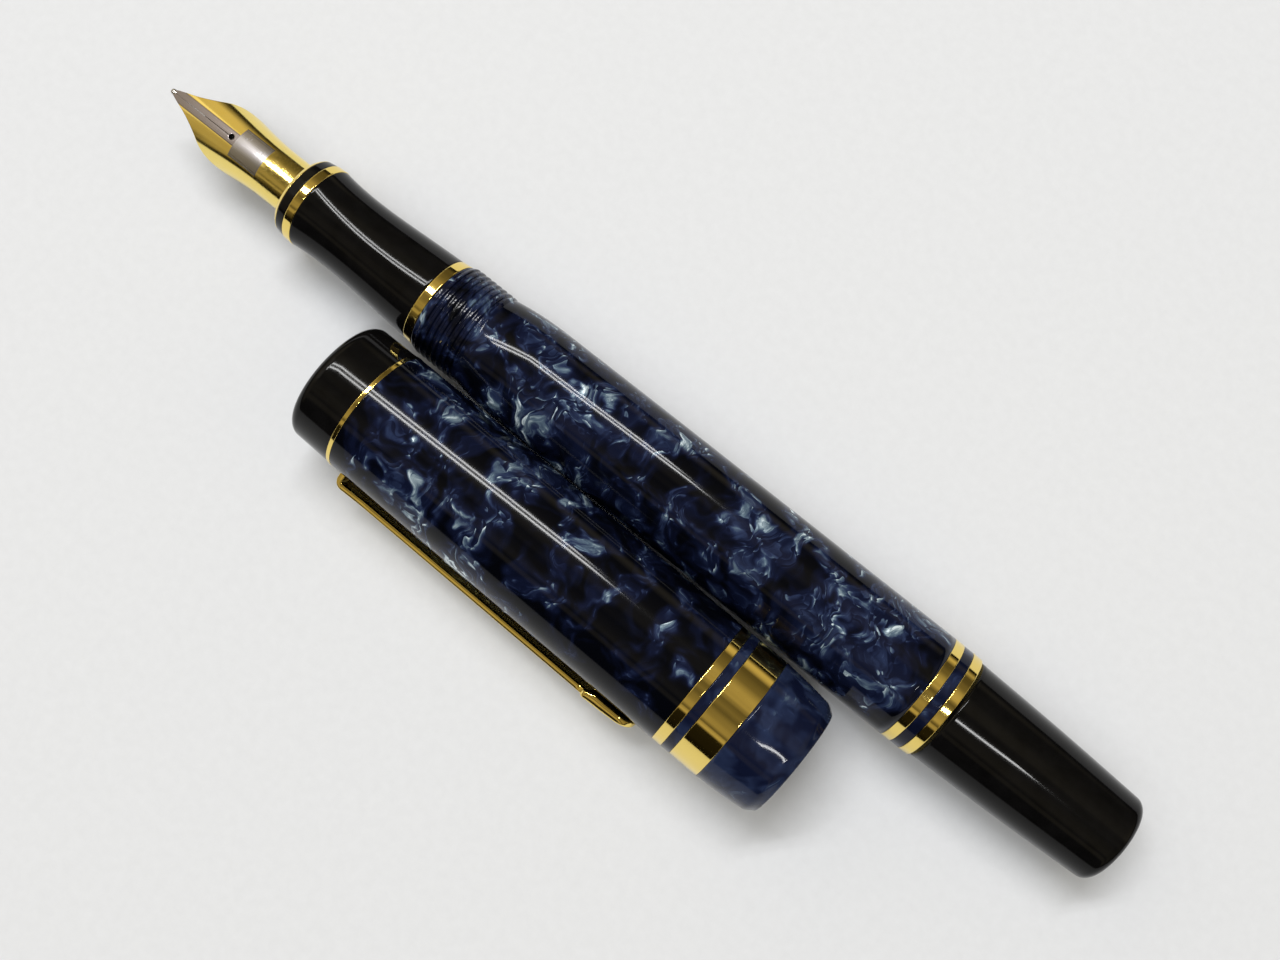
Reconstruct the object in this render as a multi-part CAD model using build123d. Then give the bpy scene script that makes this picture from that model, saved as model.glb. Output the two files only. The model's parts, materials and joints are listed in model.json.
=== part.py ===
from build123d import *
import os
from math import asin, cos, degrees, radians, sin

# Fountain pen with its cap taken off and laid beside it, in millimetres.
# +X points from the tail of the pen to its nib, +Z is up and z = 0 is the
# surface that both pieces lie on. The origin is the bottom centre of the
# whole object.
#
# Every turned piece is drawn as a half section: the first number of a point is
# its station along the axis and the second is its radius. Stations on the pen
# are counted from the flat tail end, and stations on the cap from its mouth.

# ---- where the pen and the cap lie ----
tail_end_x = -66.50
pen_axis_y = -8.67
cap_mouth_x = -35.40
cap_mouth_y = pen_axis_y + 14.68
cap_yaw = -0.8

# ---- pen, outside ----
barrel_radius = 6.45
tail_length = 22.15
tail_start_radius = 6.15
tail_end_radius = 5.22
tail_corner = 1.2
trim_ring_width = 1.17
tail_spacer_width = 1.20
barrel_length = 66.41
thread_crest_radius = 5.77
thread_root_radius = 5.52
thread_pitch = 0.78
thread_crests = 8
barrel_ring_width = 1.20
section_length = 17.07
front_ring_width = 1.13
lip_spacer_width = 1.14
lip_ring_width = 0.50
nib_reach = 19.80

# ---- pen, inside ----
barrel_bore_radius = 5.00
liner_bore_radius = 4.62
sleeve_radius = 4.50
sleeve_tenon_radius = 4.28
sleeve_bore_radius = 3.65
section_bore_radius = 3.75
section_spigot_radius = 4.30
housing_radius = 3.72
housing_bore_radius = 3.24
nipple_radius = 1.90
nipple_bore_radius = 0.95
fit_gap = 0.02
loose_gap = 0.03

# ---- nib and feed ----
nib_thickness = 0.42
nib_slit = 0.12
nib_base = 7.00
nib_roll = 6
nib_half_width = 3.52
nib_point_half_width = 0.33
breather_radius = 0.36
feed_gap = 0.03

# ---- converter ----
converter_radius = 3.50
chamber_radius = 2.90
piston_gap = 0.03
rod_radius = 1.10
collar_radius = 3.85
knob_radius = 3.70
knob_flutes = 18

# ---- cap ----
cap_radius = 7.62
cap_tube_bore_radius = 6.95
cap_tenon_radius = 6.92
cap_lip_length = 7.00
wide_band_width = 3.65
cap_spacer_width = 1.15
narrow_band_width = 1.25
cap_tube_length = 45.35
top_ring_width = 0.48
crown_length = 6.15
crown_radius = 7.50
crown_corner = 1.30
inner_cap_bore_radius = 5.60
inner_cap_floor = 1.10
screw_head_radius = 2.60
screw_recess_depth = 1.30
clip_thickness = 0.75
clip_bar_height = 9.20
clip_tongue_height = 9.40
clip_length = 42.45
clip_half_width = 1.75
clip_waist_half_width = 1.50
clip_roll = 25
tongue_length = 6.4
tongue_half_width = 2.10
tongue_start_half_width = 1.90

# ---- stations on the pen, from the tail end ----
tail_ring_rear_at = tail_length
tail_spacer_at = tail_ring_rear_at + trim_ring_width
tail_ring_front_at = tail_spacer_at + tail_spacer_width
barrel_at = tail_ring_front_at + trim_ring_width
barrel_mouth = barrel_at + barrel_length
barrel_ring_at = barrel_mouth + loose_gap
section_at = barrel_ring_at + barrel_ring_width + loose_gap
front_ring_at = section_at + section_length
lip_spacer_at = front_ring_at + front_ring_width
lip_ring_at = lip_spacer_at + lip_spacer_width
section_mouth = lip_ring_at + lip_ring_width
nib_tip = section_mouth + nib_reach

# ---- stations on the cap, from its mouth ----
wide_band_at = cap_lip_length
cap_spacer_at = wide_band_at + wide_band_width
narrow_band_at = cap_spacer_at + cap_spacer_width
cap_tube_at = narrow_band_at + narrow_band_width
top_ring_at = cap_tube_at + cap_tube_length
crown_at = top_ring_at + top_ring_width
crown_end = crown_at + crown_length
inner_cap_end = crown_at - 4.54
inner_cap_bore_end = inner_cap_end - inner_cap_floor - screw_recess_depth
clip_root = top_ring_at - 0.75

PEN = Location((tail_end_x, pen_axis_y, barrel_radius))
NIB = PEN * Rot(-nib_roll, 0, 0)
CAP = Location((cap_mouth_x, cap_mouth_y, cap_radius), (0, 0, cap_yaw))
CLIP = CAP * Rot(-clip_roll, 0, 0)


def spin(*edges):
    """Turn a closed half section about the X axis."""
    return revolve(make_face(Wire(list(edges))), Axis.X, 360)


def turned(*points):
    """Turned piece whose half section is a polygon."""
    return spin(*Polyline(*points, close=True).edges())


def tube(start, end, outer, inner=0.0):
    """Plain turned ring, tube or rod between two stations."""
    return turned((start, inner), (end, inner), (end, outer), (start, outer))


def block(start, end, width, low, high):
    """Box from one station to another, centred on the axis in Y."""
    middle = ((start + end) / 2, 0, (low + high) / 2)
    return Pos(middle) * Box(end - start, width, high - low)


def thread_outline(start, crests, pitch, root, crest):
    """Points of a thread's ridges, from the root before it to the root after it."""
    points = [(start, root)]
    for turn in range(crests):
        ridge = start + turn * pitch
        points.append((ridge + 0.30 * pitch, crest))
        points.append((ridge + 0.60 * pitch, crest))
        points.append((ridge + 0.90 * pitch, root))
        points.append((ridge + pitch, root))
    return points


# ------------------------------------------------------------------ barrel

def barrel_tube():
    """Marbled barrel: a faint cigar shape, a soft shoulder, and the cap's thread."""
    thread_at = barrel_mouth - thread_crests * thread_pitch - 0.15
    shoulder_at = thread_at - 6.4
    body = Polyline(
        (barrel_at, barrel_radius),
        (barrel_at + 24, barrel_radius - 0.04),
        (barrel_at + 43, barrel_radius - 0.11),
        (shoulder_at, barrel_radius - 0.19),
    )
    shoulder = TangentArc(
        (shoulder_at, barrel_radius - 0.19),
        (thread_at, thread_root_radius + 0.14),
        tangent=body % 1,
    )
    thread = thread_outline(
        thread_at, thread_crests, thread_pitch, thread_root_radius, thread_crest_radius
    )
    return spin(
        *body.edges(),
        shoulder,
        Line((thread_at, thread_root_radius + 0.14), thread[0]),
        *Polyline(*thread).edges(),
        *Polyline(
            thread[-1],
            (barrel_mouth, thread_root_radius),
            (barrel_mouth, barrel_bore_radius),
            (barrel_at, barrel_bore_radius),
            (barrel_at, barrel_radius),
        ).edges(),
    )


def barrel_liner():
    """Brass tube that lines the barrel and takes the section's thread."""
    return tube(
        tail_tenon_end() + 0.3, barrel_mouth - 0.1, barrel_bore_radius - fit_gap, liner_bore_radius
    )


def tail_tenon_end():
    """Station where the tail piece's tenon ends, inside the barrel."""
    return barrel_at + 9.3


def tail_ring_front():
    return tube(tail_ring_front_at, barrel_at, barrel_radius, barrel_bore_radius)


def tail_spacer():
    return tube(tail_spacer_at, tail_ring_front_at, barrel_radius - 0.05, barrel_bore_radius)


def tail_ring_rear():
    return turned(
        (tail_ring_rear_at, barrel_bore_radius),
        (tail_spacer_at, barrel_bore_radius),
        (tail_spacer_at, barrel_radius),
        (tail_ring_rear_at, barrel_radius - 0.06),
    )


def tail_piece():
    """Black tapered tail with a rounded end, and the hollow tenon that holds it."""
    tenon = barrel_bore_radius - fit_gap
    hollow = 4.20
    return spin(
        Line((0, 0), (0, tail_end_radius - tail_corner)),
        RadiusArc(
            (0, tail_end_radius - tail_corner),
            (tail_corner, tail_end_radius),
            tail_corner,
        ),
        *Polyline(
            (tail_corner, tail_end_radius),
            (tail_length / 2, 5.75),
            (tail_length, tail_start_radius),
            (tail_length, tenon),
            (tail_tenon_end(), tenon),
            (tail_tenon_end(), hollow),
            (barrel_at, hollow),
            (barrel_at, 0),
            (0, 0),
        ).edges(),
    )


# ------------------------------------------------------------------ section

def section_barrel_ring():
    """Gold washer held loosely between the barrel and the section."""
    return turned(
        (barrel_ring_at, liner_bore_radius),
        (barrel_ring_at + barrel_ring_width, liner_bore_radius),
        (barrel_ring_at + barrel_ring_width, 5.38),
        (barrel_ring_at, 5.48),
    )


def section_seal_ring():
    """Rubber ring in the section's rear face, round the thread sleeve."""
    thickness = 0.27
    middle = (section_at + 0.36, sleeve_tenon_radius + 0.40)
    with BuildSketch() as circle:
        with Locations(middle):
            Circle(thickness)
    return revolve(circle.sketch, Axis.X, 360)


def grip_section():
    """Black grip, waisted behind its flared front end."""
    recess = sleeve_tenon_radius + 0.74
    recess_end = section_at + 0.72
    taper = Line((section_at, 5.34), (section_at + 11.2, 4.77))
    waist = TangentArc(taper @ 1, (section_at + 14.9, 4.87), tangent=taper % 1)
    flare = TangentArc(waist @ 1, (front_ring_at, 5.07), tangent=waist % 1)
    return spin(
        taper,
        waist,
        flare,
        *Polyline(
            (front_ring_at, 5.07),
            (front_ring_at, section_spigot_radius),
            (lip_ring_at, section_spigot_radius),
            (lip_ring_at, section_bore_radius),
            (section_at + 5.8, section_bore_radius),
            (section_at + 5.8, section_spigot_radius),
            (recess_end, section_spigot_radius),
            (recess_end, recess),
            (section_at, recess),
            (section_at, 5.34),
        ).edges(),
    )


def section_thread_sleeve():
    """Metal sleeve that screws into the liner, fixed in the back of the section."""
    return turned(
        (section_at - 8.8, sleeve_bore_radius),
        (section_at + 5.7, sleeve_bore_radius),
        (section_at + 5.7, sleeve_tenon_radius),
        (section_at - loose_gap, sleeve_tenon_radius),
        (section_at - loose_gap, sleeve_radius),
        (section_at - 8.3, sleeve_radius),
        (section_at - 8.8, sleeve_radius - 0.35),
    )


def section_front_ring():
    return turned(
        (front_ring_at, section_spigot_radius + fit_gap),
        (lip_spacer_at, section_spigot_radius + fit_gap),
        (lip_spacer_at, 5.09),
        (front_ring_at, 5.11),
    )


def section_lip_spacer():
    """Black ring between the two gold rings of the section's front end."""
    return turned(
        (lip_spacer_at, section_spigot_radius + fit_gap),
        (lip_ring_at, section_spigot_radius + fit_gap),
        (lip_ring_at, 4.86),
        (lip_spacer_at, 5.04),
    )


def section_lip_ring():
    """Thin gold rim round the section's mouth."""
    return spin(
        *Polyline(
            (lip_ring_at, 4.88),
            (lip_ring_at, section_bore_radius),
            (section_mouth, section_bore_radius),
            (section_mouth, 4.50),
        ).edges(),
        RadiusArc((section_mouth, 4.50), (lip_ring_at, 4.88), -0.45),
    )


def nib_housing():
    """Collar that grips the nib and the feed, with the nipple for the converter."""
    back = section_at + 5.9
    pocket = section_mouth - nib_base - 0.1
    return turned(
        (back - 7.7, nipple_bore_radius),
        (pocket, nipple_bore_radius),
        (pocket, housing_bore_radius),
        (section_mouth - 0.25, housing_bore_radius),
        (section_mouth - 0.25, housing_radius),
        (back, housing_radius),
        (back, nipple_radius),
        (back - 7.7, nipple_radius),
    )


# ---------------------------------------------------------------- nib, feed

def nib_stations():
    """Station, outer radius, crown height and half angle of the nib's arched plate.

    Behind the first station the plate is a plain part of a cylinder.
    """
    shoulder = nib_tip - 8.1
    return [
        (section_mouth + 3.5, 3.20, 3.20, 100),
        (shoulder - 4.4, 3.42, 2.98, 95),
        (shoulder, 4.05, 2.42, degrees(asin(3.70 / 4.05))),
        (shoulder + 4.0, 4.70, 1.70, degrees(asin(3.70 / 4.70))),
        (nib_tip + 0.1, 5.60, 0.80, degrees(asin(3.20 / 5.60))),
    ]


def arch_point(station, radius, centre, angle):
    """Point on an arc about the axis's direction, with angle 0 at the top."""
    turn = radians(angle)
    return (station, radius * sin(turn), centre + radius * cos(turn))


def arch_arc(station, radius, centre, half_angle):
    return ThreePointArc(
        arch_point(station, radius, centre, -half_angle),
        arch_point(station, radius, centre, 0),
        arch_point(station, radius, centre, half_angle),
    )


def plate_face(station, radius, crown, half_angle):
    """One cross-section of the nib's plate."""
    centre = crown - radius
    inner_radius = radius - nib_thickness
    outer = arch_arc(station, radius, centre, half_angle)
    inner = arch_arc(station, inner_radius, centre, half_angle)
    return make_face(
        Wire([outer, Line(outer @ 1, inner @ 1), inner, Line(inner @ 0, outer @ 0)])
    )


def core_face(station, radius, crown, half_angle):
    """Cross-section of the space under the nib's plate."""
    inner_radius = radius - nib_thickness - feed_gap
    centre = crown - radius
    arc = arch_arc(station, inner_radius, centre, half_angle)
    floor = -4.0
    left = (station, (arc @ 0).Y, floor)
    right = (station, (arc @ 1).Y, floor)
    return make_face(Wire([arc, Line(arc @ 1, right), Line(right, left), Line(left, arc @ 0)]))


def along_nib(cross_section):
    """Solid through one cross-section at each station, with a straight base behind."""
    faces = [cross_section(*row) for row in nib_stations()]
    base_length = nib_stations()[0][0] - (section_mouth - nib_base)
    return loft(faces) + extrude(faces[0], base_length, dir=(-1, 0, 0))


def nib():
    """Arched plate cut to the nib's outline, with its slit and breather hole."""
    plate = along_nib(plate_face)
    shoulder = nib_tip - 8.1
    point = nib_tip - 0.6
    back = section_mouth - nib_base - 1
    side = Spline(
        (point, nib_point_half_width),
        (nib_tip - 3.9, 1.46),
        (nib_tip - 5.7, 2.34),
        (nib_tip - 7.1, 3.18),
        (shoulder, nib_half_width),
        tangents=[(-1, 0.33), (-1, 0.1)],
    )
    rest = Polyline(
        (shoulder, nib_half_width),
        (shoulder - 1.4, nib_half_width),
        (shoulder - 1.4, 4.50),
        (back, 4.50),
        (back, 0),
        (point, 0),
        (point, nib_point_half_width),
    )
    half = make_face(Wire([side, *rest.edges()]))
    outline = half + mirror(half, Plane.XZ)
    plate = plate & extrude(outline, 8, both=True)
    hole_at = nib_tip - 10.25
    plate -= Pos(hole_at, 0, 3) * Cylinder(breather_radius, 4)
    return plate - block(hole_at, nib_tip + 1, nib_slit, -1, 5)


def nib_tipping():
    """Hard ball at the point, in two halves, one on each tine."""
    ball = Pos(nib_tip - 0.45, 0, 0.68) * Sphere(0.45)
    ball &= block(nib_tip - 0.6, nib_tip + 1, 2, -1, 3)
    return ball - block(nib_tip - 2, nib_tip + 1, nib_slit, -1, 5)


def feed():
    """Black finned feed under the nib, with a channel on top and a rear spigot."""
    back = section_mouth - nib_base
    fins_at = section_mouth + 1.3
    under_nib = along_nib(core_face)
    rod = 2.65
    profile = make_face(
        Wire(
            [
                Line((back, 3.4), (back, -rod - 0.1)),
                Line((back, -rod - 0.1), (section_mouth + 4.2, -rod - 0.1)),
                Spline(
                    (section_mouth + 4.2, -rod - 0.1),
                    (section_mouth + 9.6, -1.45),
                    (section_mouth + 14.2, 1.10),
                    tangents=[(1, 0), (1, 0.6)],
                ),
                Line((section_mouth + 14.2, 1.10), (section_mouth + 14.2, 3.4)),
                Line((section_mouth + 14.2, 3.4), (back, 3.4)),
            ]
        )
    )
    side = extrude(Plane.XZ * profile, 4, both=True)
    body = under_nib & side & tube(back, section_mouth + 15, rod)
    for fin in range(9):
        cut_at = fins_at + fin * 0.80
        body -= block(cut_at, cut_at + 0.35, 6, -3.2, -1.0)
    body -= block(back - 1, section_mouth + 16, 0.40, 1.5, 4)
    return body + tube(back - 6.0, back + 1, nipple_bore_radius - 0.05)


# ---------------------------------------------------------------- converter

def converter_front():
    return section_at + 3.2


def converter_tube():
    """Clear ink reservoir, pushed onto the housing's nipple."""
    front = converter_front()
    chamber_end = front - 5.2
    back = front - 41.5
    return turned(
        (back, chamber_radius),
        (chamber_end, chamber_radius),
        (chamber_end, nipple_radius + loose_gap),
        (front, nipple_radius + loose_gap),
        (front, converter_radius),
        (back, converter_radius),
    )


def converter_collar():
    """Metal collar that joins the reservoir to the turning knob."""
    tube_end = converter_front() - 41.5
    return turned(
        (tube_end - 9.1, converter_radius - 0.03),
        (tube_end - 4.1, converter_radius - 0.03),
        (tube_end - 4.1, converter_radius + fit_gap),
        (tube_end + 2.0, converter_radius + fit_gap),
        (tube_end + 2.0, collar_radius - 0.15),
        (tube_end + 1.7, collar_radius),
        (tube_end - 9.1, collar_radius),
    )


def converter_guide_nut():
    """Nut behind the reservoir that keeps the piston rod straight."""
    tube_end = converter_front() - 41.5
    return tube(tube_end - 4.0, tube_end - 0.05, converter_radius, rod_radius + 0.05)


def piston_seal():
    """Soft plunger that fills the reservoir's bore, with a waist between two lips."""
    front = converter_front() - 7.0
    lip = chamber_radius - piston_gap
    waist = lip - 0.5
    return turned(
        (front, 0),
        (front, lip - 0.35),
        (front - 0.4, lip),
        (front - 1.1, lip),
        (front - 1.4, waist),
        (front - 2.1, waist),
        (front - 2.4, lip),
        (front - 3.4, lip),
        (front - 3.4, 0),
    )


def piston_rod():
    """Rod with a coarse thread that the knob draws back."""
    front = converter_front() - 10.4
    length = 34.0
    grooves = 10
    points = [(front - length, 0), (front - length, rod_radius)]
    for groove in range(grooves):
        cut_at = front - length + 1.2 + groove * 3.2
        points += [
            (cut_at, rod_radius),
            (cut_at + 0.3, rod_radius - 0.25),
            (cut_at + 0.7, rod_radius - 0.25),
            (cut_at + 1.0, rod_radius),
        ]
    points += [(front, rod_radius), (front, 0)]
    return turned(*points)


def converter_knob():
    """Fluted knob at the converter's end, with a neck that turns in the collar."""
    tube_end = converter_front() - 41.5
    grip_end = tube_end - 9.15
    back = grip_end - 15.9
    body = turned(
        (back, 0),
        (back, knob_radius - 0.4),
        (back + 0.4, knob_radius),
        (grip_end, knob_radius),
        (grip_end, converter_radius - 0.08),
        (tube_end - 4.15, converter_radius - 0.08),
        (tube_end - 4.15, rod_radius + 0.10),
        (back + 1.3, rod_radius + 0.10),
        (back + 1.3, 0),
    )
    for flute in range(knob_flutes):
        turn = flute * 360 / knob_flutes
        groove = Pos((back + grip_end) / 2, knob_radius + 0.28, 0) * Box(12.5, 0.8, 0.5)
        body -= Rot(turn, 0, 0) * groove
    return body


# ---------------------------------------------------------------------- cap

def cap_lip():
    """Blue-black lip at the cap's mouth, with the tenon that carries the bands."""
    side = TangentArc(
        (wide_band_at, cap_radius), (1.4, cap_radius - 0.46), tangent=(-1, 0)
    )
    rim = TangentArc(side @ 1, (0, 6.36), tangent=side % 1)
    return spin(
        side,
        rim,
        *Polyline(
            (0, 6.36),
            (0, 6.20),
            (1.6, 6.20),
            (1.6, 6.45),
            (wide_band_at + 10, 6.45),
            (wide_band_at + 10, cap_tenon_radius),
            (wide_band_at, cap_tenon_radius),
            (wide_band_at, cap_radius),
        ).edges(),
    )


def cap_thread_sleeve():
    """Threaded ring inside the cap's mouth that screws over the barrel's thread."""
    start = 1.65
    end = 10.0
    outer = 6.45 - fit_gap
    crest = thread_crest_radius + 0.08
    root = crest + 0.22
    ridges = thread_outline(start + 0.6, thread_crests, thread_pitch, root, crest)
    return turned(
        (start, outer), (start, root + 0.1), *ridges, (end, root), (end, outer)
    )


def cap_band_wide():
    return tube(wide_band_at, cap_spacer_at, cap_radius, cap_tenon_radius + fit_gap)


def cap_band_spacer():
    return tube(cap_spacer_at, narrow_band_at, cap_radius, cap_tenon_radius + fit_gap)


def cap_band_narrow():
    return tube(narrow_band_at, cap_tube_at, cap_radius, cap_tenon_radius + fit_gap)


def cap_tube():
    """Marbled cap tube with a notch at its top end for the clip."""
    body = turned(
        (cap_tube_at, cap_tube_bore_radius),
        (cap_tube_at, cap_radius),
        (cap_tube_at + 30, cap_radius - 0.01),
        (top_ring_at, cap_radius - 0.06),
        (top_ring_at, cap_tube_bore_radius),
    )
    notch_from = clip_root - clip_thickness - 0.25
    notch_to = top_ring_at + 0.1
    notch = Pos((notch_from + notch_to) / 2, cap_radius, 0) * Box(
        notch_to - notch_from, 3, 2 * clip_half_width + 0.5
    )
    return body - Rot(-clip_roll, 0, 0) * notch


def cap_top_ring():
    return tube(top_ring_at, crown_at, cap_radius - 0.03, 5.14)


def cap_crown():
    """Black end of the cap, with the tenon that the screw pulls down."""
    dome = 0.25
    tenon = 5.12
    tenon_at = crown_at - 3.7
    corner_radius = crown_radius - 0.06
    end_radius = corner_radius - crown_corner
    dome_radius = (end_radius**2 + dome**2) / (2 * dome)
    return spin(
        Line((crown_at, tenon), (crown_at, crown_radius)),
        Line((crown_at, crown_radius), (crown_end - dome - crown_corner, corner_radius)),
        RadiusArc(
            (crown_end - dome - crown_corner, corner_radius),
            (crown_end - dome, end_radius),
            crown_corner,
        ),
        RadiusArc((crown_end - dome, end_radius), (crown_end, 0), dome_radius),
        *Polyline(
            (crown_end, 0),
            (crown_at + 1.4, 0),
            (crown_at + 1.4, 1.50),
            (tenon_at, 1.50),
            (tenon_at, tenon),
            (crown_at, tenon),
        ).edges(),
    )


def clip_washer():
    """Steel washer clamped between the inner cap and the crown."""
    end = crown_at - 3.72
    return tube(end - 0.8, end, cap_tube_bore_radius - 0.05, 1.60)


def inner_cap():
    """Black liner that closes round the section when the cap is on, with a recess for the screw head."""
    start = wide_band_at + 10.2
    floor_at = inner_cap_end - inner_cap_floor
    return turned(
        (start, inner_cap_bore_radius + 0.6),
        (start + 0.8, inner_cap_bore_radius),
        (inner_cap_bore_end, inner_cap_bore_radius),
        (inner_cap_bore_end, screw_head_radius + 0.2),
        (floor_at, screw_head_radius + 0.2),
        (floor_at, 1.60),
        (inner_cap_end, 1.60),
        (inner_cap_end, cap_tenon_radius),
        (start, cap_tenon_radius),
    )


def crown_screw():
    """Screw that clamps the inner cap, the washer and the crown together."""
    head_at = inner_cap_end - inner_cap_floor - 0.02
    head_top = head_at - 1.2
    screw = turned(
        (head_top, 0),
        (head_top, screw_head_radius - 0.4),
        (head_top + 0.3, screw_head_radius),
        (head_at, screw_head_radius),
        (head_at, 1.48),
        (crown_at + 1.2, 1.48),
        (crown_at + 1.2, 0),
    )
    slot = Pos(head_top, 0, 0) * Box(1.0, 6, 0.5)
    return screw - slot


def clip():
    """Sprung clip: a tang in the notch, a long bar and a rounded tongue."""
    outside = clip_bar_height
    inside = outside - clip_thickness
    bend = 1.1
    tongue_end = clip_tongue_height - 0.45
    end = clip_root - clip_length
    tongue = end + tongue_length
    side_view = make_face(
        Wire(
            [
                *Polyline(
                    (clip_root, outside - bend),
                    (clip_root, 6.30),
                    (clip_root - clip_thickness, 6.30),
                    (clip_root - clip_thickness, inside - 0.6),
                ).edges(),
                RadiusArc(
                    (clip_root - clip_thickness, inside - 0.6),
                    (clip_root - clip_thickness - 0.5, inside - 0.1),
                    -0.5,
                ),
                Line((clip_root - clip_thickness - 0.5, inside - 0.1), (clip_root - 4, inside)),
                Line((clip_root - 4, inside), (tongue + 0.6, inside)),
                Line((tongue + 0.6, inside), (tongue, 8.05)),
                ThreePointArc((tongue, 8.05), (end + 3.4, 7.80), (end + 0.9, 7.95)),
                ThreePointArc((end + 0.9, 7.95), (end, 8.42), (end + 0.8, tongue_end)),
                Line((end + 0.8, tongue_end), (tongue, clip_tongue_height)),
                Line((tongue, clip_tongue_height), (tongue + 0.15, outside)),
                Line((tongue + 0.15, outside), (clip_root - bend, outside)),
                RadiusArc((clip_root - bend, outside), (clip_root, outside - bend), bend),
            ]
        )
    )
    body = extrude(side_view, tongue_half_width + 1, both=True)
    half_plan = make_face(
        Wire(
            [
                *Polyline(
                    (end, 0),
                    (clip_root + 1, 0),
                    (clip_root + 1, clip_half_width),
                    (clip_root - 1.6, clip_half_width),
                    (tongue + 0.35, clip_waist_half_width),
                    (tongue, tongue_start_half_width),
                ).edges(),
                Spline(
                    (tongue, tongue_start_half_width),
                    (end + 3.6, tongue_half_width),
                    (end, 0),
                    tangents=[(-1, 0), (0, -1)],
                ),
            ]
        )
    )
    plan = half_plan + mirror(half_plan, Plane.XZ)
    return body & (Rot(90, 0, 0) * extrude(plan, 12, both=True))


PEN_PARTS = [
    barrel_tube,
    barrel_liner,
    tail_ring_front,
    tail_spacer,
    tail_ring_rear,
    tail_piece,
    section_barrel_ring,
    section_seal_ring,
    grip_section,
    section_thread_sleeve,
    section_front_ring,
    section_lip_spacer,
    section_lip_ring,
    nib_housing,
    converter_tube,
    converter_collar,
    converter_guide_nut,
    piston_seal,
    piston_rod,
    converter_knob,
]

NIB_PARTS = [
    nib,
    nib_tipping,
    feed,
]

CAP_PARTS = [
    cap_lip,
    cap_thread_sleeve,
    cap_band_wide,
    cap_band_spacer,
    cap_band_narrow,
    cap_tube,
    cap_top_ring,
    cap_crown,
    clip_washer,
    inner_cap,
    crown_screw,
]

CLIP_PARTS = [
    clip,
]

os.makedirs("parts", exist_ok=True)
PLACES = ((PEN, PEN_PARTS), (NIB, NIB_PARTS), (CAP, CAP_PARTS), (CLIP, CLIP_PARTS))
for place, makers in PLACES:
    for make in makers:
        export_step(place * make(), f"parts/{make.__name__}.step")
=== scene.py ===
"""Looks of the marbled fountain pen and its cap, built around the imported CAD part."""

import json
import math

import bpy
import numpy as np
from mathutils import Euler, Matrix, Vector


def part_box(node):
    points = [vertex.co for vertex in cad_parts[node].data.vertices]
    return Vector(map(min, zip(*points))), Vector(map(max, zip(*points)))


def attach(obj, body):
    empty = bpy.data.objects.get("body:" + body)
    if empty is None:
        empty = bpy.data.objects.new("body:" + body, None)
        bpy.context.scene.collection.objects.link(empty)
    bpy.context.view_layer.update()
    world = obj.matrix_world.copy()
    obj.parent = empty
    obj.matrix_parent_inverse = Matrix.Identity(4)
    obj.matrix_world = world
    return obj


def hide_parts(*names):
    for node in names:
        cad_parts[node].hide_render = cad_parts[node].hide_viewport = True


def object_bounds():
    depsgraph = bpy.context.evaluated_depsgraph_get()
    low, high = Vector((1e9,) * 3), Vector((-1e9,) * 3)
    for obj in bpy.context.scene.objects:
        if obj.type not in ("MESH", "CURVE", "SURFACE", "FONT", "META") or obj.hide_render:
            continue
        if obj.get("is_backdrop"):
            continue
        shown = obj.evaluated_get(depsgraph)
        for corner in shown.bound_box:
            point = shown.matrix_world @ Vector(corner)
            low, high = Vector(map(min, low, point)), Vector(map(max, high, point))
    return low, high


MM = 0.001
# Steps round a turned body.
SEGMENTS = 192

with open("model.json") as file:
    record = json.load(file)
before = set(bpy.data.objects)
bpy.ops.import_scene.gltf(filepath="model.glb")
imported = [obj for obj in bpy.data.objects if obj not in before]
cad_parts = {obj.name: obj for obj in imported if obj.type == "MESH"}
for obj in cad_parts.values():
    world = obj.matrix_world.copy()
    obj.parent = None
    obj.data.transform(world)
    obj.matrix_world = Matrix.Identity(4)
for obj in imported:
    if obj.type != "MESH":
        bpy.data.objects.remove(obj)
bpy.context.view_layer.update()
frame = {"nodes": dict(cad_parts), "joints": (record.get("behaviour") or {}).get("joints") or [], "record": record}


# ---------------------------------------------------------------- places read from the CAD


def centre(node):
    """Middle of a CAD node's box."""
    low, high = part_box(node)
    return (low + high) / 2


def pen_frame():
    """Frame of the pen: origin on its axis at the tail end, X towards the nib."""
    middle = centre("barrel_tube")
    return Matrix.Translation((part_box("tail_piece")[0].x, middle.y, middle.z))


def cap_frame():
    """Frame of the cap: X runs from its mouth to its crown, origin at the middle of the wide band."""
    band = centre("cap_band_wide")
    ring = centre("cap_top_ring")
    along = (ring - band).normalized()
    yaw = math.atan2(along.y, along.x)
    return Matrix.Translation(band) @ Matrix.Rotation(yaw, 4, "Z")


def nib_frame():
    """Frame of the nib: the pen's frame, rolled until the tipping's beads lie straight above the axis."""
    offset = centre("nib_tipping") - PEN.translation
    return PEN @ Matrix.Rotation(-math.atan2(offset.y, offset.z), 4, "X")


def clip_frame():
    """Frame of the clip: the cap's frame, rolled until the axis of the clip's spring is square to it."""
    axis = next(Vector(joint["axis"]) for joint in frame["joints"] if joint["name"] == "clip_spring")
    return CAP @ Matrix.Rotation(-math.atan2(-axis.y, -axis.z), 4, "X")


PEN = pen_frame()
NIB = nib_frame()
CAP = cap_frame()
CLIP = clip_frame()
CAP_YAW = CAP.to_euler().z


def span(node):
    """First station, last station and radius of a round CAD node on the pen, in mm from the tail end."""
    low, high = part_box(node)
    tail = PEN.translation.x
    return (low.x - tail) / MM, (high.x - tail) / MM, (high.z - low.z) / 2 / MM


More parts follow.
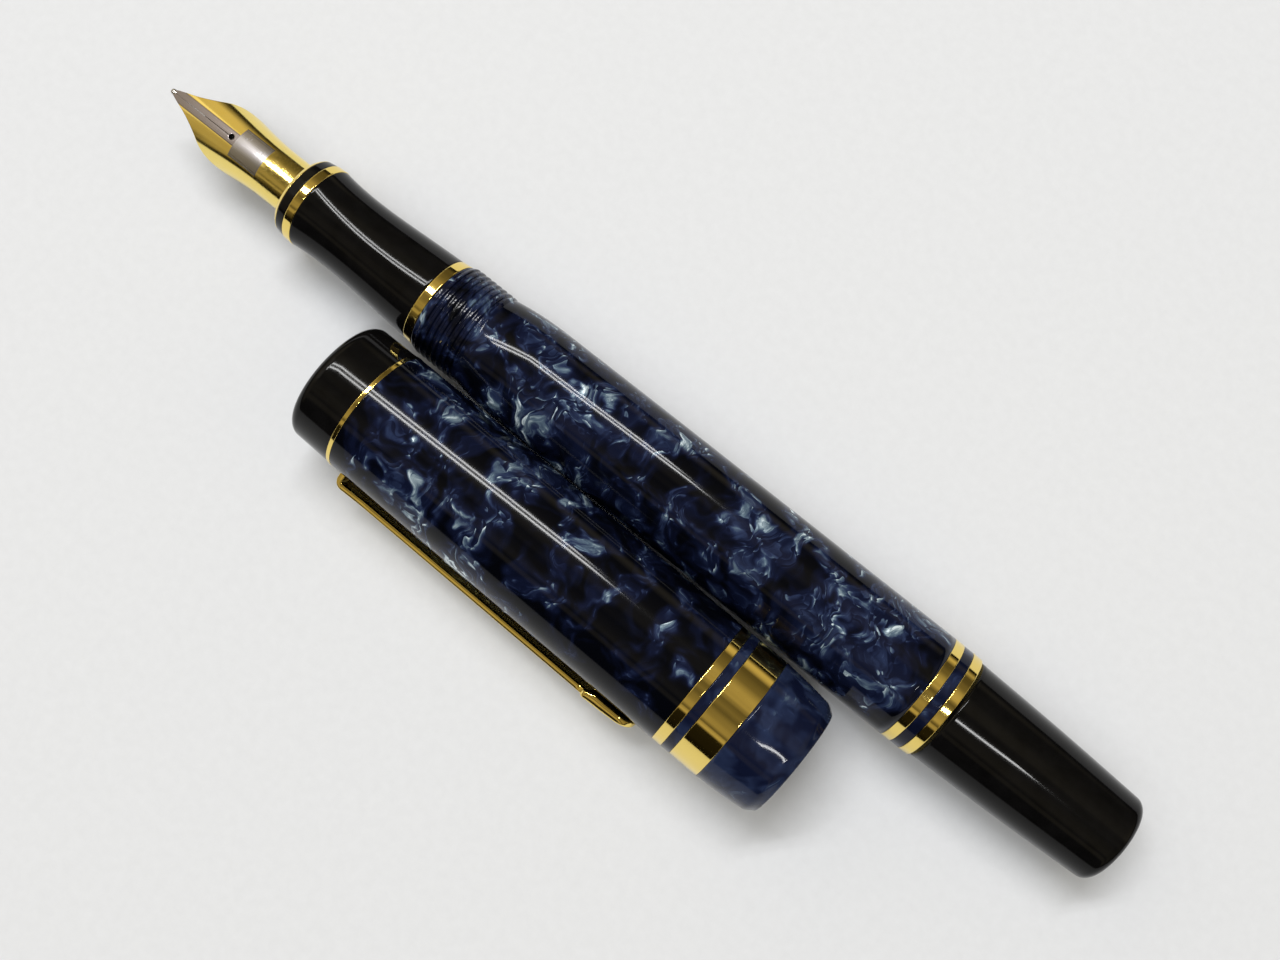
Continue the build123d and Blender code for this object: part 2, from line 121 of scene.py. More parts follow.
def cap_span(node):
    """First station, last station and radius of a round CAD node on the cap, in mm from the wide band."""
    low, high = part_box(node)
    radius = (high.z - low.z) / 2
    middle = CAP.inverted() @ ((low + high) / 2)
    length = (high.x - low.x - 2 * radius * abs(math.sin(CAP_YAW))) / math.cos(CAP_YAW)
    return (middle.x - length / 2) / MM, (middle.x + length / 2) / MM, radius / MM


# ---------------------------------------------------------------- mesh helpers


def make_object(name, vertices, faces, place):
    """Smooth-shaded mesh object with its vertices in mm in the given frame."""
    mesh = bpy.data.meshes.new(name)
    mesh.from_pydata((np.asarray(vertices) * MM).tolist(), [], faces)
    mesh.update()
    mesh.shade_smooth()
    item = bpy.data.objects.new(name, mesh)
    bpy.context.scene.collection.objects.link(item)
    item.matrix_world = place
    normals = item.modifiers.new("Even normals", "WEIGHTED_NORMAL")
    normals.keep_sharp = True
    return item


def finish_piece(item, material, slot, body, *nodes):
    """Gives a piece its material, hides the CAD nodes it stands for and lets it ride on a body; slot is not used.
    """
    item.data.materials.append(material)
    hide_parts(*nodes)
    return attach(item, body)


def soften(outline, radius, closed=True):
    """Rounds the corners of an outline of (station, radius) points."""
    least_turn = 0.25
    steps = 3
    share_of_side = 0.45
    hold = 0.4
    points = [Vector(p) for p in outline]
    count = len(points)
    result = []
    for i, point in enumerate(points):
        if not closed and i in (0, count - 1):
            result.append(point)
            continue
        before = points[i - 1] - point
        after = points[(i + 1) % count] - point
        turn = math.pi - before.angle(after)
        on_axis = point.y < 1e-6
        if turn < least_turn or on_axis:
            result.append(point)
            continue
        reach = min(radius, before.length * share_of_side, after.length * share_of_side)
        start = point + before.normalized() * reach
        end = point + after.normalized() * reach
        # a held point on each side keeps the flanks flat right up to the corner
        if before.length > 3 * reach:
            result.append(start + before.normalized() * reach * hold)
        for k in range(steps + 1):
            t = k / steps
            result.append((1 - t) ** 2 * start + 2 * t * (1 - t) * point + t**2 * end)
        if after.length > 3 * reach:
            result.append(end + after.normalized() * reach * hold)
    return [(p.x, p.y) for p in result]


def flowing(points, step=0.4):
    """Points of a smooth curve through (station, value) points, as a monotone cubic."""
    x, y = (np.array(v, float) for v in zip(*points))
    slope = np.diff(y) / np.diff(x)
    tangent = np.concatenate([[slope[0]], (slope[1:] + slope[:-1]) / 2, [slope[-1]]])
    flat = slope[1:] * slope[:-1] <= 0
    tangent[1:-1][flat] = 0
    count = max(2, int(math.ceil((x[-1] - x[0]) / step)) + 1)
    at = np.linspace(x[0], x[-1], count)
    at = np.unique(np.concatenate([at, x]))
    i = np.clip(np.searchsorted(x, at, side="right") - 1, 0, len(x) - 2)
    width = x[i + 1] - x[i]
    t = (at - x[i]) / width
    value = (
        (2 * t**3 - 3 * t**2 + 1) * y[i]
        + (t**3 - 2 * t**2 + t) * width * tangent[i]
        + (-2 * t**3 + 3 * t**2) * y[i + 1]
        + (t**3 - t**2) * width * tangent[i + 1]
    )
    return list(zip(at.tolist(), value.tolist()))


def grid_faces(rows, columns, first=0, close_rows=False, close_columns=False):
    """Quads of a grid of vertices that is stored row by row."""
    faces = []
    for i in range(rows if close_rows else rows - 1):
        for j in range(columns if close_columns else columns - 1):
            a = first + i * columns + j
            b = first + i * columns + (j + 1) % columns
            c = first + (i + 1) % rows * columns + (j + 1) % columns
            d = first + (i + 1) % rows * columns + j
            faces.append((a, b, c, d))
    return faces


def turned(name, outline, place, ripple=None, closed=True):
    """Body turned about the X axis. ripple(station, radius, angle) may add to the radius."""
    angle = np.linspace(0, 2 * math.pi, SEGMENTS, endpoint=False)
    vertices = []
    for station, radius in outline:
        reach = np.full(SEGMENTS, max(radius, 0.0))
        if ripple is not None:
            reach = reach + ripple(station, radius, angle)
        stations = np.full(SEGMENTS, station)
        vertices.append(np.column_stack([stations, reach * np.cos(angle), reach * np.sin(angle)]))
    faces = grid_faces(len(outline), SEGMENTS, close_rows=closed, close_columns=True)
    return make_object(name, np.concatenate(vertices), faces, place)


def quarter_turn(steps):
    """Angles from 0 to a right angle."""
    return [math.pi / 2 * k / steps for k in range(steps + 1)]


# ---------------------------------------------------------------- node helpers


def new_material(name):
    """Empty node material with its output."""
    material = bpy.data.materials.new(name)
    material.use_nodes = True
    tree = material.node_tree
    tree.nodes.clear()
    return material, tree


def add(tree, kind, inputs=None, **settings):
    """Adds a node. inputs gives each input a value or the socket that feeds it."""
    node = tree.nodes.new(kind)
    for key, value in settings.items():
        setattr(node, key, value)
    for key, value in (inputs or {}).items():
        if isinstance(value, bpy.types.NodeSocket):
            tree.links.new(value, node.inputs[key])
        else:
            node.inputs[key].default_value = value
    return node


def calc(tree, operation, a, b=0.0, c=0.0, clamp=False):
    """One step of arithmetic."""
    node = add(tree, "ShaderNodeMath", {0: a, 1: b, 2: c}, operation=operation, use_clamp=clamp)
    return node.outputs[0]


def product(tree, first, *others):
    """All the factors multiplied together."""
    for other in others:
        first = calc(tree, "MULTIPLY", first, other)
    return first


def vector_calc(tree, operation, a, b=(0, 0, 0), scale=None):
    """One step of vector arithmetic."""
    inputs = {0: a, 1: b}
    if scale is not None:
        inputs["Scale"] = scale
    return add(tree, "ShaderNodeVectorMath", inputs, operation=operation).outputs[0]


def noise(tree, vector, scale, detail=2.0, roughness=0.5, distortion=0.0, output="Fac"):
    """Soft noise."""
    node = add(
        tree,
        "ShaderNodeTexNoise",
        {
            "Vector": vector,
            "Scale": scale,
            "Detail": detail,
            "Roughness": roughness,
            "Distortion": distortion,
        },
    )
    return node.outputs[output]


def warped(tree, vector, scale, amount):
    """Coordinates bent by slow noise."""
    sway = noise(tree, vector, scale, output="Color")
    sway = vector_calc(tree, "SUBTRACT", sway, (0.5, 0.5, 0.5))
    return vector_calc(tree, "ADD", vector, vector_calc(tree, "SCALE", sway, scale=amount))


def ramp(tree, factor, stops):
    """Colour ramp from (position, colour or grey) stops."""
    node = add(tree, "ShaderNodeValToRGB", {"Fac": factor})
    elements = node.color_ramp.elements
    while len(elements) < len(stops):
        elements.new(1.0)
    for element, (position, colour) in zip(elements, stops):
        element.position = position
        if not isinstance(colour, tuple):
            colour = (colour, colour, colour)
        element.color = (*colour, 1.0)
    return node.outputs["Color"]


def blend_colour(tree, factor, a, b):
    """Mixes two colours."""
    node = add(tree, "ShaderNodeMix", data_type="RGBA")
    for key, value in (("Factor", factor), ("A", a), ("B", b)):
        socket = next(s for s in node.inputs if s.name == key and s.enabled)
        if isinstance(value, bpy.types.NodeSocket):
            tree.links.new(value, socket)
        else:
            socket.default_value = (*value, 1.0)
    return next(s for s in node.outputs if s.enabled)


def smooth_step(tree, value, low, high):
    """0 below low, 1 above high, smooth between."""
    node = add(
        tree,
        "ShaderNodeMapRange",
        {"Value": value, "From Min": low, "From Max": high},
        interpolation_type="SMOOTHSTEP",
        clamp=True,
    )
    return node.outputs["Result"]


def thin_line(tree, value, target, outer, inner):
    """1 where value is within inner of target, 0 where it is outer or more away."""
    gap = calc(tree, "ABSOLUTE", calc(tree, "SUBTRACT", value, target))
    return smooth_step(tree, gap, outer, inner)


def object_mm(tree):
    """Object coordinates in mm."""
    here = add(tree, "ShaderNodeTexCoord").outputs["Object"]
    return vector_calc(tree, "SCALE", here, scale=1 / MM)


def bump(tree, height, strength, distance):
    """Bump normal from a height."""
    inputs = {"Height": height, "Strength": strength, "Distance": distance}
    return add(tree, "ShaderNodeBump", inputs).outputs["Normal"]


def surface(tree, inputs):
    """Principled shader wired to the output."""
    shader = add(tree, "ShaderNodeBsdfPrincipled", inputs)
    add(tree, "ShaderNodeOutputMaterial", {"Surface": shader.outputs[0]})


# ---------------------------------------------------------------- materials


def pearl_folds(tree, vector, scale, softness):
    """Crumpled flakes, each one bright along one side and fading across its width."""
    sharpness = 2.6
    flakes = add(
        tree,
        "ShaderNodeTexVoronoi",
        {"Vector": vector, "Scale": scale, "Randomness": 1.0, "Smoothness": softness},
        feature="SMOOTH_F1",
    )
    chance = vector_calc(tree, "SUBTRACT", flakes.outputs["Color"], (0.5, 0.5, 0.5))
    way = vector_calc(tree, "NORMALIZE", chance)
    offset = vector_calc(tree, "SUBTRACT", vector, flakes.outputs["Position"])
    offset = vector_calc(tree, "SCALE", offset, scale=scale)
    dot = add(tree, "ShaderNodeVectorMath", {0: offset, 1: way}, operation="DOT_PRODUCT")
    side = calc(tree, "MULTIPLY_ADD", dot.outputs["Value"], 0.95, 0.45, clamp=True)
    tone = add(tree, "ShaderNodeSeparateColor", {"Color": flakes.outputs["Color"]}).outputs[0]
    brightness = calc(tree, "MULTIPLY_ADD", tone, 1.3, 0.25)
    return calc(tree, "MULTIPLY", calc(tree, "POWER", side, sharpness), brightness)


def marble_glow(tree, local, seed, calm, density):
    """Strength of the pearl, and the large flakes in it, for a marble that starts from a seed."""
    here = vector_calc(tree, "ADD", local, (seed, seed * 0.7, seed * 1.3))

    # slow swirls and tighter curls bend everything else
    bent = warped(tree, here, 0.16, 9.0)
    folded = warped(tree, bent, 0.42, 2.4)

    # where the pearl gathers, and the navy haze round it
    cloud = noise(tree, bent, 0.26, 2.0, 0.55)
    drift = noise(tree, here, 0.045, 1.0, 0.5)
    cloud = calc(tree, "ADD", cloud, calc(tree, "MULTIPLY_ADD", drift, 0.50, -0.25))
    if density is not None:
        (first, less), (last, more) = density
        along = add(tree, "ShaderNodeSeparateXYZ", {"Vector": local}).outputs[0]
        rise = smooth_step(tree, along, first, last)
        cloud = calc(tree, "ADD", cloud, calc(tree, "MULTIPLY_ADD", rise, more - less, less))
    gathered = smooth_step(tree, cloud, 0.44, 0.60)
    haze = smooth_step(tree, cloud, 0.36, 0.58)

    # large and small flakes, drawn out round the piece
    drawn = vector_calc(tree, "MULTIPLY", folded, (1.30, 0.72, 0.72))
    large = pearl_folds(tree, drawn, 0.36, 0.45)
    small = pearl_folds(tree, drawn, 1.0, 0.30)
    glow = calc(tree, "ADD", calc(tree, "MULTIPLY", large, 0.66), calc(tree, "MULTIPLY", small, 0.60))
    glow = calc(tree, "MULTIPLY", glow, gathered)

    # fine sparkle inside the pearl
    fibres = vector_calc(tree, "MULTIPLY", folded, (2.8, 0.8, 0.8))
    grain = noise(tree, fibres, 1.2, 4.0, 0.75)
    glow = calc(tree, "MULTIPLY", glow, calc(tree, "MULTIPLY_ADD", grain, 2.2, -0.10))
    soft = calc(tree, "MULTIPLY_ADD", haze, 0.13, 0.15 * calm)
    return calc(tree, "MULTIPLY_ADD", glow, 1.0 - 0.8 * calm, soft, clamp=True), large


def marbled_resin(name, seed, calm=0.0, density=None):
    """Dark blue resin with pearly folds under a clear polish.

    calm, from 0 to 1, gives plainer, softer resin. density gives (station, change) at two stations
    along the piece, in mm, between which the pearl goes from gathering less to gathering more.
    """
    material, tree = new_material(name)
    local = object_mm(tree)
    glow, large = marble_glow(tree, local, seed, calm, density)
    colour = ramp(
        tree,
        glow,
        [
            (0.0, (0.0010, 0.0013, 0.0028)),
            (0.16, (0.0045, 0.0070, 0.0240)),
            (0.34, (0.0190, 0.0300, 0.0760)),
            (0.55, (0.0900, 0.1350, 0.1900)),
            (0.78, (0.2900, 0.3700, 0.4300)),
            (1.0, (0.6800, 0.7900, 0.8600)),
        ],
    )
    surface(
        tree,
        {
            "Base Color": colour,
            "Metallic": calc(tree, "MULTIPLY", glow, 0.30),
            "Roughness": 0.45,
            "Specular IOR Level": 0.0,
            "Normal": bump(tree, large, 0.35, 0.0005),
            "Coat Weight": 1.0,
            "Coat Roughness": 0.08,
            "Coat IOR": 1.28,
            "Coat Normal": bump(tree, noise(tree, local, 1.3, 3.0, 0.6), 0.01, 0.00003),
        },
    )
    return material


def black_resin():
    """Polished black resin with faint hairlines and a trace of depth."""
    material, tree = new_material("Black resin")
    here = object_mm(tree)
    depth = noise(tree, here, 0.5, 3.0, 0.6)
    colour = ramp(tree, depth, [(0.3, (0.0022, 0.0021, 0.0022)), (0.7, (0.0040, 0.0038, 0.0040))])
    stretched = vector_calc(tree, "MULTIPLY", here, (0.25, 3.0, 3.0))
    hairlines = noise(tree, stretched, 2.0, 4.0, 0.75)
    roughness = calc(tree, "MULTIPLY_ADD", hairlines, 0.05, 0.055)
    surface(
        tree,
        {
            "Base Color": colour,
            "Roughness": roughness,
            "IOR": 1.25,
            "Normal": bump(tree, hairlines, 0.008, 0.00003),
        },
    )
    return material


def polished_gold():
    """Gold plate with turned hairlines and a slow change of tone."""
    material, tree = new_material("Polished gold")
    here = object_mm(tree)
    tone = noise(tree, here, 0.35, 3.0, 0.6)
    colour = (0.95, 0.725, 0.205)
    deep = tuple(c * 0.93 for c in colour)
    base = blend_colour(tree, tone, deep, colour)
    rings = vector_calc(tree, "MULTIPLY", here, (14.0, 0.35, 0.35))
    hairlines = noise(tree, rings, 1.0, 3.0, 0.7)
    wipe = noise(tree, here, 1.1, 4.0, 0.7)
    surface(
        tree,
        {
            "Base Color": base,
            "Metallic": 1.0,
            "Roughness": calc(tree, "MULTIPLY_ADD", wipe, 0.08, 0.03),
            "Normal": bump(tree, hairlines, 0.03, 0.00004),
        },
    )
    return material


def plain_metal(name, colour, roughness, lathe_marks):
    """Turned metal with marks round its axis."""
    material, tree = new_material(name)
    here = object_mm(tree)
    marks = noise(tree, vector_calc(tree, "MULTIPLY", here, (9.0, 0.3, 0.3)), 1.0, 3.0, 0.7)
    tone = noise(tree, here, 0.5, 3.0, 0.6)
    surface(
        tree,
        {
            "Base Color": blend_colour(tree, tone, tuple(c * 0.82 for c in colour), colour),
            "Metallic": 1.0,
            "Roughness": calc(tree, "MULTIPLY_ADD", marks, 0.2, roughness - 0.1),
            "Normal": bump(tree, marks, lathe_marks, 0.00006),
        },
    )
    return material


def moulded_plastic(name, colour, roughness, grain=0.06):
    """Moulded plastic or rubber with a fine grain."""
    material, tree = new_material(name)
    here = object_mm(tree)
    speck = noise(tree, here, 6.0, 4.0, 0.7)
    tone = noise(tree, here, 0.6, 2.0, 0.5)
    surface(
        tree,
        {
            "Base Color": blend_colour(tree, tone, tuple(c * 0.7 for c in colour), colour),
            "Roughness": calc(tree, "MULTIPLY_ADD", speck, 0.15, roughness - 0.07),
            "Normal": bump(tree, speck, grain, 0.0001),
        },
    )
    return material


def clear_plastic():
    """Clear moulded tube with slight wear."""
    material, tree = new_material("Clear plastic")
    here = object_mm(tree)
    wear = noise(tree, here, 1.5, 4.0, 0.7)
    surface(
        tree,
        {
            "Base Color": ramp(tree, wear, [(0.3, (0.90, 0.93, 0.95)), (0.7, (0.97, 0.98, 0.99))]),
            "Roughness": calc(tree, "MULTIPLY_ADD", wear, 0.08, 0.0),
            "IOR": 1.49,
            "Transmission Weight": 0.92,
            "Normal": bump(tree, wear, 0.03, 0.0001),
        },
    )
    return material


def nib_engraving(tree, here):
    """Where the nib is silver, where its field is, where its borders are, and its relief."""
    strip_half_width = 0.76
    field_half_width = 1.86
    field_front = NIB_HOLE - 0.75
    field_back = NIB_HOLE - 5.0
    inner_border = 0.26
    ruling_pitch = 0.19
    crisp = 0.02
    parts = add(tree, "ShaderNodeSeparateXYZ", {"Vector": here}).outputs
    along = parts[0]
    across = calc(tree, "ABSOLUTE", parts[1])

    # the strip opens square into the field just behind the breather hole, and the field ends square
    in_field = smooth_step(tree, calc(tree, "SUBTRACT", field_front, along), -crisp, crisp)
    before_end = smooth_step(tree, calc(tree, "SUBTRACT", along, field_back), -crisp, crisp)
    wider = field_half_width - strip_half_width
    half_width = calc(tree, "MULTIPLY_ADD", in_field, wider, strip_half_width)
    inside = smooth_step(tree, calc(tree, "SUBTRACT", half_width, across), -crisp, crisp)
    silver = product(tree, inside, before_end)

    # fine ruling along the strip and the field
    ruling = calc(tree, "SINE", calc(tree, "MULTIPLY", across, 2 * math.pi / ruling_pitch))
    ruled = product(tree, ruling, silver)

    # engraved borders beside the strip and round the field
    beside = product(tree, thin_line(tree, half_width, across, 0.06, 0.03), before_end)
    further_in = calc(tree, "SUBTRACT", half_width, inner_border)
    inner_line = product(tree, thin_line(tree, further_in, across, 0.05, 0.02), before_end, in_field)
    border = calc(tree, "MAXIMUM", beside, inner_line)

    # light scrolled texture on the gold base
    scroll = thin_line(tree, noise(tree, here, 1.5, 2.0, 0.5, distortion=1.2), 0.5, 0.07, 0.02)
    on_base = smooth_step(tree, calc(tree, "SUBTRACT", field_back - 0.2, along), 0.0, 0.3)
    scroll = product(tree, scroll, on_base, 0.18)
    engraving = calc(tree, "MULTIPLY", calc(tree, "ADD", scroll, border), -1.0)
    relief = calc(tree, "MULTIPLY_ADD", ruled, 0.22, engraving)
    return silver, in_field, border, relief


def nib_metal():
    """Gold nib with a silver-coloured strip along the slit and a finely ruled silver field behind it."""
    material, tree = new_material("Two-tone nib")
    here = object_mm(tree)
    silver, in_field, border, relief = nib_engraving(tree, here)
    wipe = noise(tree, here, 1.2, 4.0, 0.7)
    gold = blend_colour(tree, wipe, (0.92, 0.71, 0.18), (0.95, 0.77, 0.26))
    pale = blend_colour(tree, in_field, (0.30, 0.265, 0.265), (0.40, 0.385, 0.40))
    base = blend_colour(tree, silver, gold, pale)
    base = blend_colour(tree, calc(tree, "MULTIPLY", border, 0.6), base, (0.20, 0.15, 0.07))
    roughness = calc(tree, "MULTIPLY_ADD", wipe, 0.10, 0.07)
    surface(
        tree,
        {
            "Base Color": base,
            "Metallic": 1.0,
            "Roughness": calc(tree, "MULTIPLY_ADD", silver, 0.14, roughness),
            "Normal": bump(tree, relief, 0.16, 0.00006),
        },
    )
    return material


def floor_material():
    """Plain pale matt sheet with a very faint grain."""
    material, tree = new_material("Pale floor")
    here = object_mm(tree)
    grain = noise(tree, here, 0.8, 4.0, 0.6)
    surface(
        tree,
        {
            "Base Color": ramp(tree, grain, [(0.3, (0.633, 0.646, 0.680)), (0.7, (0.657, 0.671, 0.706))]),
            "Roughness": 0.75,
            "Specular IOR Level": 0.2,
        },
    )
    return material


# ---------------------------------------------------------------- stations

BARREL_END = span("barrel_tube")[1]
NIB_BACK, NIB_FRONT, _ = span("nib")
NIB_HOLE = NIB_FRONT - 9.65


# ---------------------------------------------------------------- pen barrel


def tail_piece(material):
    """Black tail with a rounded end."""
    end = span("tail_ring_rear")[0]
    end_radius = 4.02
    corner = 1.2
    shoulder = 5.22
    arc = []
    for a in quarter_turn(8):
        radius = end_radius + (shoulder - end_radius) * math.sin(a)
        arc.append((corner * (1 - math.cos(a)), radius))
    taper = flowing([(corner, shoulder), (11.08, 5.75), (end, 6.15)], 0.8)
    outline = [(0, 0), (0, end_radius * 0.5), *arc, *taper[1:], (end, 0)]
    item = turned("tail", outline, PEN, closed=False)
    return finish_piece(item, material, "black_resin", "barrel", "tail_piece")


def pen_ring(name, node, rear_radius, front_radius, bore, material, slot, body):
    """Flush ring of the pen with softened edges."""
    start, end, _ = span(node)
    outline = soften([(start, rear_radius), (end, front_radius), (end, bore), (start, bore)], 0.10)
    item = turned(name, outline, PEN)
    return finish_piece(item, material, slot, body, node)


def barrel(material):
    """Marbled barrel that tapers to a threaded shoulder."""
    _, start, start_radius = span("tail_ring_front")
    thread_at = BARREL_END - 6.39
    thread_end = BARREL_END - 0.15
    root = 5.52
    crest = 5.77
    pitch = 0.78
    thread_step = 0.04
    shoulder = 5.66
    drop_length = 6.4
    drop_radius = 6.26
    bore = 5.00
    body = flowing(
        [
            (start, start_radius),
            (start + 24, 6.41),
            (start + 43, 6.34),
            (thread_at - drop_length, drop_radius),
        ],
        0.8,
    )
    drop = []
    for k in range(1, 25):
        t = k / 24
        radius = drop_radius - (drop_radius - shoulder) * t**2 - 0.07 * t * (1 - t)
        drop.append((thread_at - drop_length + drop_length * t, radius))
    thread_steps = int((thread_end - thread_at) / thread_step)
    thread = [(thread_at + k * thread_step, root) for k in range(1, thread_steps)]
    end_face = [(thread_end, root), (BARREL_END - 0.08, root - 0.02), (BARREL_END, root - 0.12)]
    inside = [(BARREL_END, bore + 0.15), (BARREL_END - 0.15, bore), (start, bore)]

    def helix(station, radius, angle):
        if radius != root or not thread_at < station < thread_end:
            return 0
        turn = (station - thread_at) / pitch - angle / (2 * math.pi)
        wave = 0.5 + 0.5 * np.cos(2 * math.pi * turn)
        ridge = np.clip(1.35 * wave - 0.1, 0, 1)
        ridge = ridge * ridge * (3 - 2 * ridge)
        lead_in = np.clip((station - thread_at) / 0.5, 0, 1)
        lead_out = np.clip((thread_end - station) / 0.6, 0, 1)
        run_out = (1 - lead_in) * (shoulder - root)
        return run_out + (crest - root) * ridge * lead_in * lead_out

    item = turned("barrel", [*body, *drop, *thread, *end_face, *inside], PEN, ripple=helix)
    return finish_piece(item, material, "marbled_resin", "barrel", "barrel_tube")


# ---------------------------------------------------------------- grip section


def grip_section(material):
    """Waisted black grip that flares to the front ring."""
    start = span("section_barrel_ring")[1] + 0.03
    end = span("section_front_ring")[0]
    length = end - start
    bore = 3.6
    rear = [(0, 5.34), (3.0, 5.185), (6.5, 4.995)]
    front = [(11.2, 4.77), (13.1, 4.765), (14.9, 4.87), (length, 5.07)]
    waist = np.polynomial.Polynomial.fit(*zip(*rear, *front), 4)
    outside = [(start + s, float(waist(s))) for s in np.linspace(0, length, 60)]
    outline = soften([*outside, (end, bore), (start, bore)], 0.10)
    item = turned("grip", outline, PEN)
    return finish_piece(item, material, "black_resin", "section", "grip_section")


# ---------------------------------------------------------------- nib

# Station from the nib's back, outside radius and crown height of its arched plate.
NIB_ARCH = (
    (7.0, 3.20, 3.20),
    (10.5, 3.20, 3.20),
    (14.3, 3.42, 2.98),
    (18.7, 4.05, 2.42),
    (22.7, 4.70, 1.70),
    (26.9, 5.60, 0.80),
)
# How far round the plate wraps behind its shoulders, in degrees, and its half width in front of them.
NIB_WRAP = ((7.0, 100), (10.5, 100), (14.3, 95), (17.2, 74))
NIB_HALF_WIDTH = ((18.7, 3.52), (19.7, 3.18), (21.1, 2.34), (22.9, 1.46), (26.2, 0.33))


def nib_shape(stations):
    """Radius, crown height and half angle of the nib's plate at the given stations from its back."""
    step = 0.05
    radius = np.array(flowing([(s, r) for s, r, _ in NIB_ARCH], step))
    crown = np.array(flowing([(s, h) for s, _, h in NIB_ARCH], step))
    wrap = [(s, math.radians(a)) for s, a in NIB_WRAP]
    wrap += [(s, math.asin(w / np.interp(s, *radius.T))) for s, w in NIB_HALF_WIDTH]
    wrap = np.array(flowing(wrap, step))
    return [np.interp(stations, *curve.T) for curve in (radius, crown, wrap)]


def nib_stations(hole, hole_radius, tip):
    """Stations of the nib's rows, closer together round its breather hole and its shoulders."""
    shoulder = NIB_HALF_WIDTH[0][0]
    return np.concatenate(
        [
            np.linspace(NIB_ARCH[0][0], hole - 1.2, 44),
            np.linspace(hole - 1.0, hole - hole_radius, 8),
            hole - hole_radius * np.cos(np.linspace(0.12, 1, 15) * math.pi)[:-1],
            np.linspace(hole + hole_radius, shoulder - 1.2, 10)[1:],
            np.linspace(shoulder - 1.1, shoulder + 1.3, 16),
            np.linspace(shoulder + 1.5, tip, 34),
        ]
    )


def nib_half(side, stations, columns, hole, hole_radius, tip):
    """Top and underside of one half of the nib, as rows of points from the slit to the edge."""
    thickness = 0.42
    slit_at_hole = 0.035
    slit_at_tip = 0.004
    top, under = [], []
    for s, radius, crown, widest in zip(stations, *nib_shape(stations)):
        inner = 0.0
        if abs(s - hole) < hole_radius:
            inner = math.sqrt(hole_radius**2 - (s - hole) ** 2)
        if s > hole:
            slit = slit_at_hole + (slit_at_tip - slit_at_hole) * (s - hole) / (tip - hole)
            inner = max(inner, slit)
        first = math.asin(inner / radius)
        angle = first + (widest - first) * np.linspace(0, 1, columns)
        for rows, r in ((top, radius), (under, radius - thickness)):
            across = side * r * np.sin(angle)
            height = crown - radius + r * np.cos(angle)
            rows.append(np.column_stack([np.full(columns, NIB_BACK + s), across, height]))
    return np.array(top), np.array(under)


def nib(material):
    """Two-tone nib: a curved sheet with flared shoulders, a breather hole and a slit."""
    hole = NIB_HOLE - NIB_BACK
    hole_radius = 0.36
    tip = NIB_FRONT - NIB_BACK
    stations = nib_stations(hole, hole_radius, tip)
    columns = 30
    rows = len(stations)
    width = 2 * columns
    vertices, faces = [], []
    for side in (1, -1):
        top, under = nib_half(side, stations, columns, hole, hole_radius, tip)
        first = sum(len(v) for v in vertices)
        vertices.append(np.concatenate([top, under[:, ::-1]], axis=1).reshape(-1, 3))
        # behind the hole the two halves are one sheet, with no wall between them
        for n, quad in enumerate(grid_faces(rows, width, first, close_columns=True)):
            row, column = divmod(n, width)
            joined = column == width - 1 and stations[row + 1] <= hole - hole_radius + 1e-6
            if not joined:
                faces.append(quad if side > 0 else quad[::-1])
        for row, flip in ((0, side < 0), (rows - 1, side > 0)):
            for j in range(columns - 1):
                a = first + row * width + j
                b = first + row * width + width - 1 - j
                quad = (a, a + 1, b - 1, b)
                faces.append(quad[::-1] if flip else quad)
    item = make_object("nib_blade", np.concatenate(vertices), faces, NIB)
    weld = item.modifiers.new("Join halves", "WELD")
    weld.merge_threshold = 1e-6
    item.modifiers.move(1, 0)
    edge = item.modifiers.new("Soft edges", "BEVEL")
    edge.width = 0.05 * MM
    edge.segments = 2
    edge.limit_method = "ANGLE"
    edge.angle_limit = math.radians(40)
    item.modifiers.move(2, 1)
    return finish_piece(item, material, "nib_gold", "section", "nib")


def tipping(material):
    """Two small beads of hard metal at the ends of the tines, drawn out where they join them."""
    share_of_cad = 0.84
    tail_stretch = 2.6
    slit = 0.012
    _, front, cad_radius = span("nib_tipping")
    radius = share_of_cad * cad_radius
    height = (centre("nib_tipping") - PEN.translation).yz.length / MM
    vertices, faces = [], []
    rings, around = 24, 28
    for side in (1, -1):
        first = len(vertices)
        for i in range(rings + 1):
            along = math.cos(math.pi * i / rings)
            reach = radius * math.sin(math.pi * i / rings)
            station = front - radius + radius * along * (1.0 if along > 0 else tail_stretch)
            for j in range(around):
                a = 2 * math.pi * j / around
                across = max(reach * math.cos(a) * side, slit) * side
                vertices.append((station, across, height + reach * math.sin(a)))
        faces += grid_faces(rings + 1, around, first, close_columns=True)
    item = make_object("tipping_beads", vertices, faces, NIB)
    return finish_piece(item, material, "tipping_metal", "section", "nib_tipping")


# ---------------------------------------------------------------- cap


def cap_ring(name, node, bore, material, slot, edge=0.10):
    """Flush ring of the cap with softened edges."""
    start, end, radius = cap_span(node)
    outline = soften([(start, radius), (end, radius), (end, bore), (start, bore)], edge)
    item = turned(name, outline, CAP)
    return finish_piece(item, material, slot, "cap", node)


